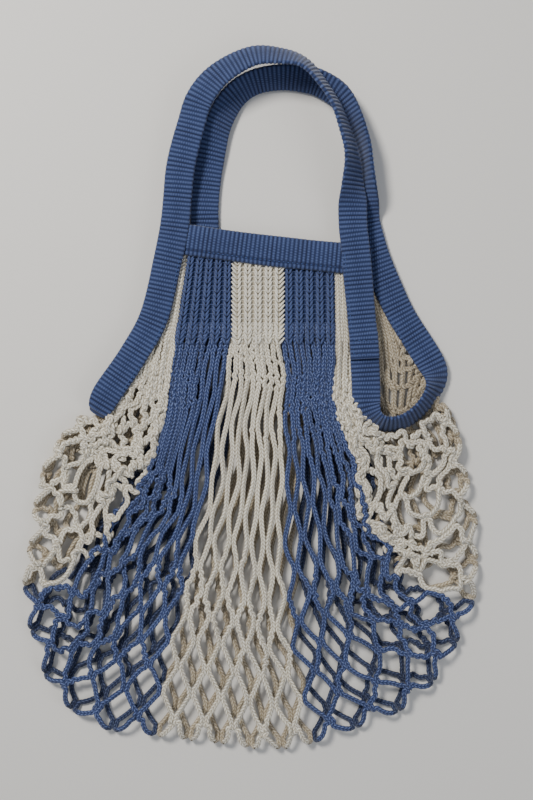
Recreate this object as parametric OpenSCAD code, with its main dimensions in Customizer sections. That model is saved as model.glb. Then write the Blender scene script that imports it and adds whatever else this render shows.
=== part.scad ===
// Knotless net carry bag in two cotton colours, lying flat with its mouth at +Y.
// One knitted strip of net in five stripes is folded at the bottom. An endless folded tape binds
// both side openings and carries on as the two handles. A shorter tape binds each mouth edge.
// Origin: centre of the outline on the surface that the bag lies on. X right, Y towards the handles.

/* [Net] */
// Width of the net laid flat
net_w = 394; // [340:2:440]
// Thickness of one layer of net, a knitted chain cord
cord_t = 3.5; // [2.5:0.1:5]
// Free height between the front and the back layer
layer_gap = 9; // [7:0.5:14]
// Thickness of the net where it folds round from front to back
fold_t = 3.5; // [2.5:0.1:5]
// Y at which the dense ribbed panel under each mouth band ends
rib_end_y = 55; // [45:1:65]

/* [Tape] */
// Width of the folded tape
tape_w = 24.5; // [20:0.5:26]
// Thickness of the folded tape
tape_t = 4; // [3:0.1:5]
// Width of the tape that binds each mouth edge
band_w = 26; // [22:0.5:28]
// Thickness of the tape where it stands on edge at the bottom of the right side opening
turn_t = 8; // [6:0.5:10]
// Length of the lap where the tape's two ends overlap
lap_l = 22; // [14:1:30]

/* [Stitching] */
// Distance from one stitch to the next
stitch_pitch = 4; // [3:0.5:6]
// Length of one stitch
stitch_l = 2.6; // [2:0.1:4]
// Thickness of the sewing thread
thread_t = 0.7; // [0.4:0.1:1]

/* [Hidden] */

blue_tape = [0.24, 0.37, 0.64];
blue_net = [0.16, 0.26, 0.5];
cream_net = [0.8, 0.76, 0.67];
blue_thread = [0.15, 0.23, 0.45];

sx = net_w / 394;               // the guide points below are drawn for a net 394 wide
steps = 6;                      // straight pieces in each span of a smooth outline
far = 500;                      // reach of the half-space cutters
back_mid = tape_t / 2;          // middle height of the back layer
front_z = tape_t / 2 + cord_t / 2 + layer_gap;  // underside of the front layer
front_mid = front_z + cord_t / 2;
tape_top = front_mid + tape_t / 2;
hinge_gap = 0.4;                // half the clearance between the two sides of the mouth hinge
clear = 0.2;                    // clearance round the tape's turns
rib_top_y = 125;                // the knitting ends under the mouth bands, below this height
turn_y = 7;                     // the left turn reaches this far below the mouth hinge
front_handle_y = 154;           // where the front handle leaves the tape and swings
back_handle_y = 164;            // where the back handle leaves the tape and swings

// Guide points of the folded edge of the net, round the bottom from left to right.
fold_guide = [
    [-144, -7], [-162, -30], [-181, -64], [-191, -105], [-197, -160],
    [-191, -203], [-178, -241], [-157, -268], [-124, -286], [-82, -291],
    [-34, -297], [16, -302], [54, -297],
    [80, -288], [108, -277], [132, -267], [153, -251], [173, -220], [194, -172],
    [197, -130], [194, -88], [182, -46], [170, -12], [159, 0]
];
// Guide numbers at which one stripe's folded edge ends and the next begins.
fold_stops = [0, 4, 9, 12, 18, 23];

// Boundaries between the stripes, from the mouth down to the fold.
front_seams = [
    [[-54, 140], [-57, 113], [-66, 55], [-72, 0], [-87, -57], [-116, -101], [-147, -146], [-197, -160]],
    [[-15, 140], [-16, 113], [-16, 55], [-26, 0], [-38, -72], [-57, -160], [-75, -241], [-82, -291]],
    [[27, 140], [28, 113], [28, 55], [28, 0], [28, -86], [29, -145], [34, -203], [54, -297]],
    [[71, 140], [72, 113], [73, 55], [73, 0], [91, -57], [107, -105], [135, -160], [194, -172]]
];
back_seams = [
    [[-20, 140], [-27, 113], [-50, 55], [-68, 0], [-87, -57], [-116, -101], [-147, -146], [-197, -160]],
    [[18, 140], [14, 113], [5, 55], [-8, 0], [-28, -72], [-52, -160], [-73, -241], [-82, -291]],
    [[60, 140], [58, 113], [56, 55], [50, 0], [42, -86], [40, -145], [42, -203], [54, -297]],
    [[86, 140], [92, 113], [98, 70], [97, 0], [105, -57], [115, -105], [137, -162], [194, -172]]
];

// Middle lines of the tape along each half of the two side openings.
left_front_line = [[-65, 180], [-65, 154], [-67, 140], [-72, 118], [-83, 73], [-101, 40], [-125, 4], [-138, -16]];
right_front_line = [[87, 180], [87, 154], [89, 135], [92, 103], [95, 70], [97, 36], [99, 4], [100, -16]];
left_back_line = [[-37, 190], [-37, 164], [-40, 148], [-48, 118], [-66, 78], [-90, 42], [-120, 8], [-132, -10]];
right_back_line = [[98, 190], [98, 164], [102, 146], [112, 115], [128, 78], [145, 48], [156, 26], [158, 8]];
// Middle line of the tape where it turns on edge at the bottom of the right side opening.
turn_line = [[97, 4], [97, -4], [102, -15], [114, -22], [130, -20], [146, -10], [157, 2], [164, 14], [166, 24]];
// Middle lines of the two mouth bands.
front_band_line = [[-80, 141], [-56, 139], [10, 130], [76, 123.5], [100, 122]];
back_band_line = [[-60, 133], [-30, 132], [30, 126], [92, 120], [120, 118]];

// The handles' routes: x, y, height of the tape's middle, lean of the tape from flat in degrees.
front_handle_route = [
    [-65, 154, 14.5, 0], [-64, 168, 14.8, 0], [-60, 203, 16, 6], [-51, 237, 19, 12],
    [-43, 259, 22, 20], [-25, 279, 26, 40], [3, 293.2, 29, 56], [30, 292.5, 31, 66],
    [45, 286, 32, 72], [58, 272, 32, 74], [72, 250, 31, 74], [82, 223, 30, 66],
    [86, 203, 28, 60], [87, 182, 23, 38], [87, 166, 15.8, 4], [87, 154, 14.5, 0]
];
back_handle_route = [
    [-37, 164, 2, 0], [-36, 182, 2.2, 0], [-33, 204, 3.4, -3], [-28, 235, 9, -26],
    [-20, 256, 9.5, -36], [-8, 270, 9.5, -38], [7, 278, 9.5, -38], [26, 281, 9.5, -38],
    [45, 279, 9.5, -38], [60, 275, 9.5, -38], [76, 264, 10, -42], [88, 243, 12, -56],
    [96, 222, 13.4, -68], [99, 204, 13.4, -70], [100, 190, 13, -64], [98.5, 176, 9.6, -34],
    [98, 164, 2, 0]
];

// ---- curves ----
function wide(p) = [p[0] * sx, p[1]];
function at(list, i) = list[max(0, min(len(list) - 1, i))];
function spline_point(a, b, c, d, t) =
    0.5 * (2 * b + (c - a) * t + (2 * a - 5 * b + 4 * c - d) * t * t + (3 * b - a - 3 * c + d) * t * t * t);
// A smooth line through the guide points, with a fixed number of steps in each span.
function smooth(guide) = concat(
    [for (i = [0 : len(guide) - 2], k = [0 : steps - 1])
        spline_point(at(guide, i - 1), guide[i], guide[i + 1], at(guide, i + 2), k / steps)],
    [guide[len(guide) - 1]]
);
function heading(line, i) =
    let (d = at(line, i + 1) - at(line, i - 1))
    [d[0], d[1]] / norm([d[0], d[1]]);
// The line moved sideways, to its left when the distance is positive.
function rail(line, side) = [
    for (i = [0 : len(line) - 1])
        let (h = heading(line, i))
        [line[i][0] - h[1] * side, line[i][1] + h[0] * side]
];
function reversed(list) = [for (i = [len(list) - 1 : -1 : 0]) list[i]];
function slice(list, a, b) = [for (i = [a : b]) list[i]];
function above(list, y) = [for (p = list) if (p[1] > y) p];
function strip(line, w) = concat(rail(line, w / 2), reversed(rail(line, -w / 2)));

fold_curve = [for (p = smooth(fold_guide)) wide(p)];
fold_inner = rail(fold_curve, fold_t);
function fold_part(i) = slice(fold_curve, fold_stops[i] * steps, fold_stops[i + 1] * steps);
function fold_part_inner(i) = slice(fold_inner, fold_stops[i] * steps, fold_stops[i + 1] * steps);
function seam(seams, i) = [for (p = smooth(seams[i])) wide(p)];
function tape_line(guide) = [for (p = smooth(guide)) wide(p)];

left_front = tape_line(left_front_line);
right_front = tape_line(right_front_line);
left_back = tape_line(left_back_line);
right_back = tape_line(right_back_line);
turn_right = tape_line(turn_line);
front_band = tape_line(front_band_line);
back_band = tape_line(back_band_line);

// Outline of stripe i of a layer, from the mouth to the fold, between its left and right neighbours.
function stripe_outline(seams, left_tape, right_tape, i) =
    let (left_edge = i == 0 ? above(rail(left_tape, tape_w / 2), -turn_y) : seam(seams, i - 1))
    let (right_edge = i == 4 ? above(rail(right_tape, -tape_w / 2), -turn_y) : seam(seams, i))
    concat(left_edge, fold_part(i), reversed(right_edge));

// ---- building blocks ----
module slab(outline, z, t) {
    translate([0, 0, z]) linear_extrude(t) polygon(outline);
}
module between_y(low, high) {
    intersection() {
        children();
        translate([-far, low, -far]) cube([2 * far, high - low, 2 * far]);
    }
}
module tape_strip(line, mid, w = tape_w) {
    slab(strip(line, w), mid - tape_t / 2, tape_t);
}
// What the tape's turns and the space inside the right turn take out of the net.
module left_turn_space() {
    between_y(-turn_y - clear, 0) slab(strip(left_front, tape_w + 2 * clear), -1, tape_top + 2);
}
module right_turn_space() {
    slab(strip(turn_right, turn_t + 2 * clear), cord_t, tape_top);
}
module right_opening() {
    slab(turn_right, -1, tape_top + 2);
}
module front_stripe(i) {
    slab(stripe_outline(front_seams, left_front, right_front, i), front_z, cord_t);
}
module back_stripe(i) {
    slab(stripe_outline(back_seams, left_back, right_back, i), 0, cord_t);
}
module front_band_space() {
    tape_strip(front_band, front_mid, band_w);
}
module back_band_space() {
    tape_strip(back_band, back_mid, band_w);
}
// Straight stitches laid on a face at height z, along a line.
module stitches(line, z) {
    run = [for (i = [1 : len(line) - 1]) norm(line[i] - line[i - 1])];
    for (i = [1 : len(line) - 1])
        let (a = line[i - 1], d = (line[i] - line[i - 1]) / run[i - 1], n = floor(run[i - 1] / stitch_pitch))
        for (k = [0 : max(0, n - 1)])
            translate([a[0], a[1], z] + [d[0], d[1], 0] * (k + 0.2) * stitch_pitch)
                rotate([0, 0, atan2(d[1], d[0])])
                    translate([0, -thread_t / 2, 0]) cube([stitch_l, thread_t, thread_t / 2]);
}
// A tape swept along a route that also gives its height and lean.
module swept_tape(route) {
    line = smooth(route);
    n = len(line);
    corners = [
        for (i = [0 : n - 1])
            let (h = i == 0 || i == n - 1 ? [0, i == 0 ? 1 : -1] : heading(line, i))
            let (c = wide(line[i]), lean = line[i][3])
            let (across = [h[1] * cos(lean), -h[0] * cos(lean), sin(lean)] * tape_w / 2)
            let (up = [-h[1] * sin(lean), h[0] * sin(lean), cos(lean)] * tape_t / 2)
            for (s = [[-1, -1], [1, -1], [1, 1], [-1, 1]])
                [c[0], c[1], line[i][2]] + across * s[0] + up * s[1]
    ];
    sides = [
        for (i = [0 : n - 2], k = [0 : 3], half = [0, 1])
            let (a = 4 * i + k, b = 4 * i + (k + 1) % 4)
            half == 0 ? [a, b + 4, b] : [a, a + 4, b + 4]
    ];
    ends = [[0, 1, 2], [0, 2, 3], [4 * n - 4, 4 * n - 2, 4 * n - 3], [4 * n - 4, 4 * n - 1, 4 * n - 2]];
    polyhedron(corners, concat(sides, ends));
}

// ---- net, back layer and fold ----
module net_back(i, colour) {
    color(colour) difference() {
        between_y(-far, i == 0 || i == 4 ? rib_top_y : rib_end_y) back_stripe(i);
        back_band_space();
        left_turn_space();
    }
}
module net_fold(i, colour) {
    color(colour) difference() {
        slab(concat(fold_part(i), reversed(fold_part_inner(i))), cord_t, front_z - cord_t);
        left_turn_space();
        right_turn_space();
    }
}

// ---- net, front layer: below the mouth hinge and above it ----
module net_front(i, colour) {
    color(colour) difference() {
        between_y(-far, -hinge_gap) front_stripe(i);
        left_turn_space();
        right_turn_space();
        right_opening();
    }
}
module net_mouth(i, colour) {
    color(colour) difference() {
        between_y(hinge_gap, i == 0 || i == 4 ? rib_top_y : rib_end_y) front_stripe(i);
        front_band_space();
    }
}

// ---- dense ribbed panels ----
module rib_front(i, colour) {
    color(colour) difference() {
        between_y(rib_end_y, rib_top_y) front_stripe(i);
        front_band_space();
    }
}
module rib_back(i, colour) {
    color(colour) difference() {
        between_y(rib_end_y, rib_top_y) back_stripe(i);
        back_band_space();
    }
}

// ---- tapes ----
module mouth_band_front() {
    color(blue_tape) difference() {
        front_band_space();
        slab(strip(left_front, tape_w), 0, 2 * tape_top);
        slab(strip(right_front, tape_w), 0, 2 * tape_top);
        translate([-far - 60, 0, 0]) cube([far, far, far]);
        translate([90, 0, 0]) cube([far, far, far]);
    }
}
module mouth_band_back() {
    color(blue_tape) difference() {
        back_band_space();
        slab(strip(left_back, tape_w), -1, 2 * tape_top);
        slab(strip(right_back, tape_w), -1, 2 * tape_top);
        translate([-far - 38, 0, -1]) cube([far, far, far]);
        translate([100, 0, -1]) cube([far, far, far]);
    }
}
module side_tape_left_front() {
    color(blue_tape) between_y(hinge_gap, front_handle_y - hinge_gap) tape_strip(left_front, front_mid);
}
module side_tape_right_front() {
    color(blue_tape) between_y(hinge_gap, front_handle_y - hinge_gap) tape_strip(right_front, front_mid);
}
module side_tape_left_back() {
    color(blue_tape) between_y(0, back_handle_y - hinge_gap) tape_strip(left_back, back_mid);
}
module side_tape_right_back() {
    color(blue_tape) between_y(16, back_handle_y - hinge_gap) tape_strip(right_back, back_mid);
}
module tape_turn_left() {
    color(blue_tape) between_y(-turn_y, -hinge_gap) slab(strip(left_front, tape_w), 0, tape_top);
}
module tape_turn_right() {
    color(blue_tape) difference() {
        slab(strip(turn_right, turn_t), tape_t, tape_top - tape_t);
        translate([80 * sx, -hinge_gap, -1]) cube([50 * sx, far, far]);
        translate([130 * sx, 16, -1]) cube([far, far, far]);
    }
}
module tape_lap() {
    color(blue_tape) between_y(36, 36 + lap_l)
        slab(strip(right_front, tape_w - 0.5), tape_top, tape_t / 2);
}
module handle_front() {
    color(blue_tape) swept_tape(front_handle_route);
}
module handle_back() {
    color(blue_tape) swept_tape(back_handle_route);
}

// ---- stitching ----
stitch_edge = tape_w / 2 - 3;   // distance of a stitch row from the tape's middle line
module stitching_band_front() {
    color(blue_thread) stitches(slice(rail(front_band, -band_w / 2 + 3), steps, 3 * steps), tape_top);
}
module stitching_band_back() {
    color(blue_thread) stitches(slice(rail(back_band, -band_w / 2 + 3), steps, 3 * steps), tape_t);
}
module stitching_left_front() {
    color(blue_thread) stitches(slice(rail(left_front, stitch_edge), 2 * steps, 6 * steps - 1), tape_top);
}
module stitching_right_front() {
    color(blue_thread) stitches(slice(rail(right_front, -stitch_edge), 2 * steps, 4 * steps - 1), tape_top);
}
module stitching_left_back() {
    color(blue_thread) stitches(slice(rail(left_back, stitch_edge), 2 * steps, 6 * steps - 1), tape_t);
}
module stitching_right_back() {
    color(blue_thread) stitches(slice(rail(right_back, -stitch_edge), 2 * steps, 6 * steps - 1), tape_t);
}
module stitching_lap() {
    row_y = 36 + 3;
    x_mid = 97 * sx;
    color(blue_thread) for (y = [row_y, row_y + lap_l - 6])
        stitches([[x_mid - stitch_edge, y], [x_mid + stitch_edge, y]], tape_top + tape_t / 2);
}

net_back(0, cream_net);  // net_left_cream_back
net_back(1, blue_net);  // net_left_blue_back
net_back(2, cream_net);  // net_centre_cream_back
net_back(3, blue_net);  // net_right_blue_back
net_back(4, cream_net);  // net_right_cream_back
net_fold(0, cream_net);  // fold_left_cream
net_fold(1, blue_net);  // fold_left_blue
net_fold(2, cream_net);  // fold_centre_cream
net_fold(3, blue_net);  // fold_right_blue
net_fold(4, cream_net);  // fold_right_cream
net_front(0, cream_net);  // net_left_cream_front
net_front(1, blue_net);  // net_left_blue_front
net_front(2, cream_net);  // net_centre_cream_front
net_front(3, blue_net);  // net_right_blue_front
net_front(4, cream_net);  // net_right_cream_front
net_mouth(0, cream_net);  // net_left_cream_mouth
net_mouth(1, blue_net);  // net_left_blue_mouth
net_mouth(2, cream_net);  // net_centre_cream_mouth
net_mouth(3, blue_net);  // net_right_blue_mouth
net_mouth(4, cream_net);  // net_right_cream_mouth
rib_front(1, blue_net);  // rib_left_blue_front
rib_front(2, cream_net);  // rib_centre_cream_front
rib_front(3, blue_net);  // rib_right_blue_front
rib_back(1, blue_net);  // rib_left_blue_back
rib_back(2, cream_net);  // rib_centre_cream_back
rib_back(3, blue_net);  // rib_right_blue_back
mouth_band_front();
mouth_band_back();
side_tape_left_front();
side_tape_right_front();
side_tape_left_back();
side_tape_right_back();
tape_turn_left();
tape_turn_right();
tape_lap();
handle_front();
handle_back();
stitching_band_front();
stitching_band_back();
stitching_left_front();
stitching_right_front();
stitching_left_back();
stitching_right_back();
stitching_lap();
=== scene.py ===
import math
import bpy
import numpy as np
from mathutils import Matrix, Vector


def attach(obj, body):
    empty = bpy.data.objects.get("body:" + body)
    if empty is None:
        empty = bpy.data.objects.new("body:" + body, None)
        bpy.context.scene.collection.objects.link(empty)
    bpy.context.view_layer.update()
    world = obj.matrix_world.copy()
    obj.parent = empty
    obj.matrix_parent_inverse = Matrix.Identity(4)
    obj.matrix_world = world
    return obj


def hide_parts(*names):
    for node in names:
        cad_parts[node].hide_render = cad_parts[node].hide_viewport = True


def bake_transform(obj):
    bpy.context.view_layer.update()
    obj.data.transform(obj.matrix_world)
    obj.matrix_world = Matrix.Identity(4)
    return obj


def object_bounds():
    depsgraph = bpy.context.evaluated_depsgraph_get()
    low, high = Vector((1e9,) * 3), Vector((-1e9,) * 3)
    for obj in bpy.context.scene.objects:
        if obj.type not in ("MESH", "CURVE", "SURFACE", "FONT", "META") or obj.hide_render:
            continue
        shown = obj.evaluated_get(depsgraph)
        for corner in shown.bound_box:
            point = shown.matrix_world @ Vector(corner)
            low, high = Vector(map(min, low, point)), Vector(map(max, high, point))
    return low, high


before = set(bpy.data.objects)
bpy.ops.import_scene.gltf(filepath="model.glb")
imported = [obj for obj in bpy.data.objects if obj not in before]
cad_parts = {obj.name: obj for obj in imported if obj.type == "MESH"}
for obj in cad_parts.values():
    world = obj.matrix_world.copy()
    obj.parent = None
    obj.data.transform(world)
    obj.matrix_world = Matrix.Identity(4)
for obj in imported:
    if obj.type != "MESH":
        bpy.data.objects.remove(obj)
cad_lo, cad_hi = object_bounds()
MM = 0.001
rng = np.random.default_rng(11)

# ---------------------------------------------------------------- guide lines
# Points in millimetres, seen from above. The fold and the seams are part.scad's, cut at the ribs' lower
# end, except that the back layer's left seam lies up to 13 mm further out.
FOLD = [(-144, -7), (-162, -30), (-181, -64), (-191, -105), (-197, -160), (-191, -203), (-178, -241),
        (-157, -268), (-124, -286), (-82, -291), (-34, -297), (16, -302), (54, -297), (80, -288),
        (108, -277), (132, -267), (153, -251), (173, -220), (194, -172), (197, -130), (194, -88),
        (182, -46), (170, -12), (159, 0)]
FOLD_STOPS = [0, 4, 9, 12, 18, 23]   # the guide points at which one stripe's fold ends and the next begins
# Boundaries between the stripes, from the ribs' lower end to the fold.
FRONT_SEAMS = [
    [(-66, 55), (-72, 0), (-87, -57), (-116, -101), (-147, -146), (-197, -160)],
    [(-16, 55), (-26, 0), (-38, -72), (-57, -160), (-75, -241), (-82, -291)],
    [(28, 55), (28, 0), (28, -86), (29, -145), (34, -203), (54, -297)],
    [(73, 55), (73, 0), (91, -57), (107, -105), (135, -160), (194, -172)]]
BACK_SEAMS = [
    [(-50, 55), (-72, 0), (-99, -50), (-129, -92), (-154, -138), (-197, -160)],
    [(5, 55), (-8, 0), (-28, -72), (-52, -160), (-73, -241), (-82, -291)],
    [(56, 55), (50, 0), (42, -86), (40, -145), (42, -203), (54, -297)],
    [(98, 55), (97, 0), (105, -57), (115, -105), (137, -162), (194, -172)]]
# The net's own edges at the two side openings.
FRONT_EDGES = [[(-91, 55), (-100, 40), (-117, 14), (-134, -4), (-144, -7)],
               [(97, 55), (98, 30), (98, 2), (103, -17), (114, -25), (131, -24), (148, -12), (159, 0)]]
BACK_EDGES = [[(-82, 55), (-91, 42), (-119, 8), (-133, -6), (-144, -7)],
              [(129.5, 55), (135, 45), (144.5, 28), (151, 13.5), (159, 0)]]
# Edges and boundaries of the stripes above that, from under the mouth band to the ribs' lower end.
FRONT_TOPS = [[(-67, 140), (-72, 118), (-83, 73), (-91, 55)], [(-54, 140), (-57, 113), (-66, 55)],
              [(-15, 140), (-16, 113), (-16, 55)], [(27, 140), (28, 113), (28, 55)],
              [(71, 140), (72, 113), (73, 55)], [(89, 140), (92, 103), (97, 55)]]
BACK_TOPS = [[(-40, 148), (-48, 118), (-66, 78), (-82, 55)], [(-20, 140), (-27, 113), (-50, 55)],
             [(18, 140), (14, 113), (5, 55)], [(60, 140), (58, 113), (56, 55)],
             [(86, 140), (92, 113), (98, 55)], [(100, 140), (106, 115), (129.5, 55)]]
STRIPES = ["left_cream", "left_blue", "centre_cream", "right_blue", "right_cream"]
SIDES = (0, len(STRIPES) - 1)        # numbers of the two side stripes

PER_STRIPE = 10                      # knitted chains in a stripe
CHAINS = PER_STRIPE * len(STRIPES)
MIDDLE = (CHAINS - 1) / 2            # number of the chain in the middle
ROWS, SUB = 14, 8                    # junction rows a side, and steps from one junction row to the next
FRONT_ROWS, BACK_ROWS = 14.8, 14.2   # rows from the ribs to the fold, on the front and on the back
STITCH = 3.3                         # length of one V of a chain
CORD = 4.2                           # spacing of two chains knitted together
WIDE, THICK = 4.6, 2.8               # one flat knitted chain
CLEAR = 3.5                          # least distance of two chains that touch
Z_LOWEST = 1.9                       # a chain's middle where it lies on the floor
KNIT_LENGTH = 24.6                   # length of a chain from one junction row to the next, as knitted
FOLD_LENGTH = 33.0                   # least length of it where it goes round the fold
Z_BACK, Z_FRONT = 2.3, 10.6          # heights of the two layers' chains in the net
Z_RIB_BACK, Z_RIB_FRONT = 2.2, 12.9
Z_SIDE_BACK, Z_SIDE_FRONT = 1.9, 10.4    # the side stripes' chains where they lie gathered above the net
Z_TAPE_BACK, Z_TAPE_FRONT = 3.0, 14.6
SPAN_STEPS = 10                      # straight pieces in each span of a smooth guide line


def smooth(points, steps=SPAN_STEPS):
    """Catmull-Rom curve through the points."""
    p = np.array(points, float)
    p = np.vstack([2 * p[0] - p[1], p, 2 * p[-1] - p[-2]])
    t = np.linspace(0, 1, steps, endpoint=False)[:, None]
    out = []
    for a, b, c, d in zip(p, p[1:], p[2:], p[3:]):
        bend_2, bend_3 = 2 * a - 5 * b + 4 * c - d, 3 * b - a - 3 * c + d
        out.append(0.5 * (2 * b + (c - a) * t + bend_2 * t ** 2 + bend_3 * t ** 3))
    return np.vstack(out + [p[-2:-1]])


def along(curve, t):
    """Points at the shares t of the curve's length."""
    s = np.r_[0, np.cumsum(np.linalg.norm(np.diff(curve, axis=0), axis=1))]
    t = np.clip(np.asarray(t, float), 0, 1) * s[-1]
    return np.stack([np.interp(t, s, curve[:, k]) for k in range(curve.shape[1])], axis=-1)


fold_curve = smooth(FOLD)
fold_parts = [fold_curve[a * SPAN_STEPS:b * SPAN_STEPS + 1] for a, b in zip(FOLD_STOPS, FOLD_STOPS[1:])]
# Places across a side stripe, from the blue outwards, as knitted and as the chains gather beside the blue.
KNITTED, GATHERED = [0, 0.28, 0.42, 1], [0, 0.18, 0.34, 1]


def in_stripes(q):
    """The stripe's number and the share of its width, for places counted in chains across the strip."""
    stripe = np.clip((q // PER_STRIPE).astype(int), 0, len(STRIPES) - 1)
    return stripe, q / PER_STRIPE - stripe


class Layer:
    """One layer of the strip: places (0..50 in chains across it, 0..1 down it) to points seen from above."""

    def __init__(self, seams, edges, tops, gather):
        self.gather = gather
        self.rails = [smooth(r) for r in [edges[0], *seams, edges[1]]]
        self.tops = [smooth(r) for r in tops]

    def net(self, q, t):
        """The net, from the ribs' lower end at t = 0 to the fold at t = 1."""
        q, t = np.broadcast_arrays(np.asarray(q, float), np.asarray(t, float))
        rails = np.stack([along(r, t) for r in self.rails])
        stripe, u = in_stripes(q)
        gather = np.clip(np.minimum((t - 0.12) / 0.12, (0.92 - t) / 0.15), 0, 1) * self.gather
        u = np.where(stripe == SIDES[1], u + gather * (np.interp(u, KNITTED, GATHERED) - u), u)
        u = np.where(stripe == SIDES[0], u - gather * (np.interp(1 - u, KNITTED, GATHERED) - (1 - u)), u)
        u = u[..., None]
        out = np.zeros(q.shape + (2,))
        for s, fold_part in enumerate(fold_parts):
            ends = along(fold_part, [0, 1])
            lift = along(fold_part, u[..., 0]) - ((1 - u) * ends[0] + u * ends[1])
            here = (1 - u) * rails[s] + u * rails[s + 1] + lift * (t[..., None] ** 1.6)
            out[stripe == s] = here[stripe == s]
        return out

    def top(self, q, t):
        """The part above the net, from under the mouth band at t = 0 to the ribs' lower end at t = 1."""
        q, t = np.broadcast_arrays(np.asarray(q, float), np.asarray(t, float))
        rails = np.stack([along(r, t) for r in self.tops])
        stripe, u = in_stripes(q)
        u = u[..., None]
        out = np.zeros(q.shape + (2,))
        for s in range(len(STRIPES)):
            out[stripe == s] = ((1 - u) * rails[s] + u * rails[s + 1])[stripe == s]
        return out


front = Layer(FRONT_SEAMS, FRONT_EDGES, FRONT_TOPS, gather=1)
back = Layer(BACK_SEAMS, BACK_EDGES, BACK_TOPS, gather=0)


# ---------------------------------------------------------------- the net
def net_paths():
    """Centre lines of the 50 chains from the front rib's end round the fold to the back rib's end."""
    rows = 2 * ROWS + 2
    steps = (rows - 1) * SUB + 1
    k = np.arange(steps)
    row = k / SUB
    share = np.minimum(row / FRONT_ROWS, (rows - 1 - row) / BACK_ROWS)
    share = share * (1.07 - 0.07 * share)                  # the rows are closer near the bottom
    is_front = row <= FRONT_ROWS
    chain = np.arange(CHAINS)[:, None]
    own = chain + 0.5 + 0 * row[None, :]                   # the chain's own place across the strip
    row_above = np.floor(row).astype(int)[None, :]
    mix = np.clip(((row - np.floor(row))[None, :] - 0.1) / 0.8, 0, 1)

    def plan(q):
        return np.where(is_front[None, :, None], front.net(q, share[None, :]), back.net(q, share[None, :]))

    probe = 0.25
    right, left = plan(np.clip(own + probe, 0, CHAINS)), plan(np.clip(own - probe, 0, CHAINS))
    width = np.maximum(np.linalg.norm(right - left, axis=-1) / (2 * probe), 0.5)
    half = np.minimum(0.5, CORD / 2 / width)               # half the spacing of two joined chains

    def joined(r):
        """Places across the strip at the junctions of row r."""
        centre = np.where((chain + r) % 2 == 0, chain + 1.0, chain + 0.0)
        side = np.where(centre > chain + 0.5, -1.0, 1.0)
        lone = (centre <= 0) | (centre >= CHAINS)
        return np.where(lone, own, centre + side * half)

    q = joined(row_above) * (1 - mix) + joined(row_above + 1) * mix
    xy = plan(np.clip(q, 0.05, CHAINS - 0.05))
    turn = np.clip((row - FRONT_ROWS) / 0.45, -1, 1)
    z = Z_FRONT + (Z_BACK - Z_FRONT) * (0.5 + 0.5 * np.sin(turn * math.pi / 2))
    z = np.broadcast_to(z[None, :], own.shape).copy()
    return np.dstack([xy, z]), row, share, is_front


P, row, share, is_front = net_paths()
steps = P.shape[1]
junction = (np.arange(steps) + SUB // 2) // SUB           # nearest row of each step
near = np.abs(np.arange(steps) - junction * SUB) <= 1      # the steps tied to the neighbour
partner = np.where((np.arange(CHAINS)[:, None] + junction[None, :]) % 2 == 0, 1, -1)
other = np.arange(CHAINS)[:, None] + partner
tied = near[None, :] & (other >= 0) & (other < CHAINS)

# From one junction row to the next, half a period of the mesh, a chain keeps its knitted length as far as
# the outline leaves room for it. It is slack in the side stripes and low in the blue ones.
chord = np.linalg.norm(P[:, SUB::SUB] - P[:, :-1:SUB], axis=-1)
stripe_of = np.arange(CHAINS) // PER_STRIPE
outer = np.isin(stripe_of, SIDES)
mid_share = share[SUB // 2::SUB][None, :]
from_middle = np.abs(np.arange(CHAINS) - MIDDLE)[:, None] / 15
sideways = np.clip(from_middle - 0.35, 0, 1)
is_under = np.arange(2 * ROWS + 1)[None, :] > ROWS
loose_side = np.clip(mid_share * 2.6 - np.where(is_under, 0.95, 0.35), 0, 1)
loose_low = sideways * np.clip(mid_share * 2.2 - 0.7, 0, 1)
cap = np.where(outer[:, None], 1.05 + 0.75 * loose_side, 1.05 + 0.1 * mid_share + 0.7 * loose_low)
half_length = chord * np.clip(KNIT_LENGTH / np.maximum(chord, 1), 1.0, cap)
half_length *= 1 + np.where(outer[:, None], 0.16 * loose_side, 0.24 * loose_low)
half_length[:, ROWS] = np.maximum(half_length[:, ROWS], FOLD_LENGTH)
rest = np.repeat(half_length / SUB, SUB, axis=1)

# The slack between two junctions lies in sideways curls and twists.
slack = np.sqrt(np.clip(half_length / np.maximum(chord, 1) - 1, 0, 1.3))
slack *= np.where(outer[:, None], 0.1 + 0.9 * loose_side, 0.1 + 0.9 * np.sqrt(loose_low))
curl = 0.64 * chord * slack * rng.choice([-1, 1], chord.shape) * rng.uniform(0.5, 1.05, chord.shape)
twist = 0.25 * chord * slack * rng.uniform(-1, 1, chord.shape)
half_of = np.minimum(np.arange(steps) // SUB, 2 * ROWS)
phase = np.arange(steps) / SUB - half_of
way = P[:, SUB::SUB, :2] - P[:, :-1:SUB, :2]
normal = (way[..., ::-1] * [-1, 1] / (np.linalg.norm(way, axis=-1, keepdims=True) + 1e-6))[:, half_of]
swerve = curl[:, half_of] * np.sin(math.pi * phase) + twist[:, half_of] * np.sin(2 * math.pi * phase)


def ripple(p, size, seed):
    """A smooth random shift in x and y that varies over about the given size."""
    g = np.random.default_rng(seed)
    out = np.zeros(p.shape[:-1] + (2,))
    for _ in range(7):
        wave = g.normal(0, 1, 2) / size
        out += np.sin(p[..., :2] @ wave + g.uniform(0, 6.3))[..., None] * g.normal(0, 1, 2)
    return out / 2.6


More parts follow.
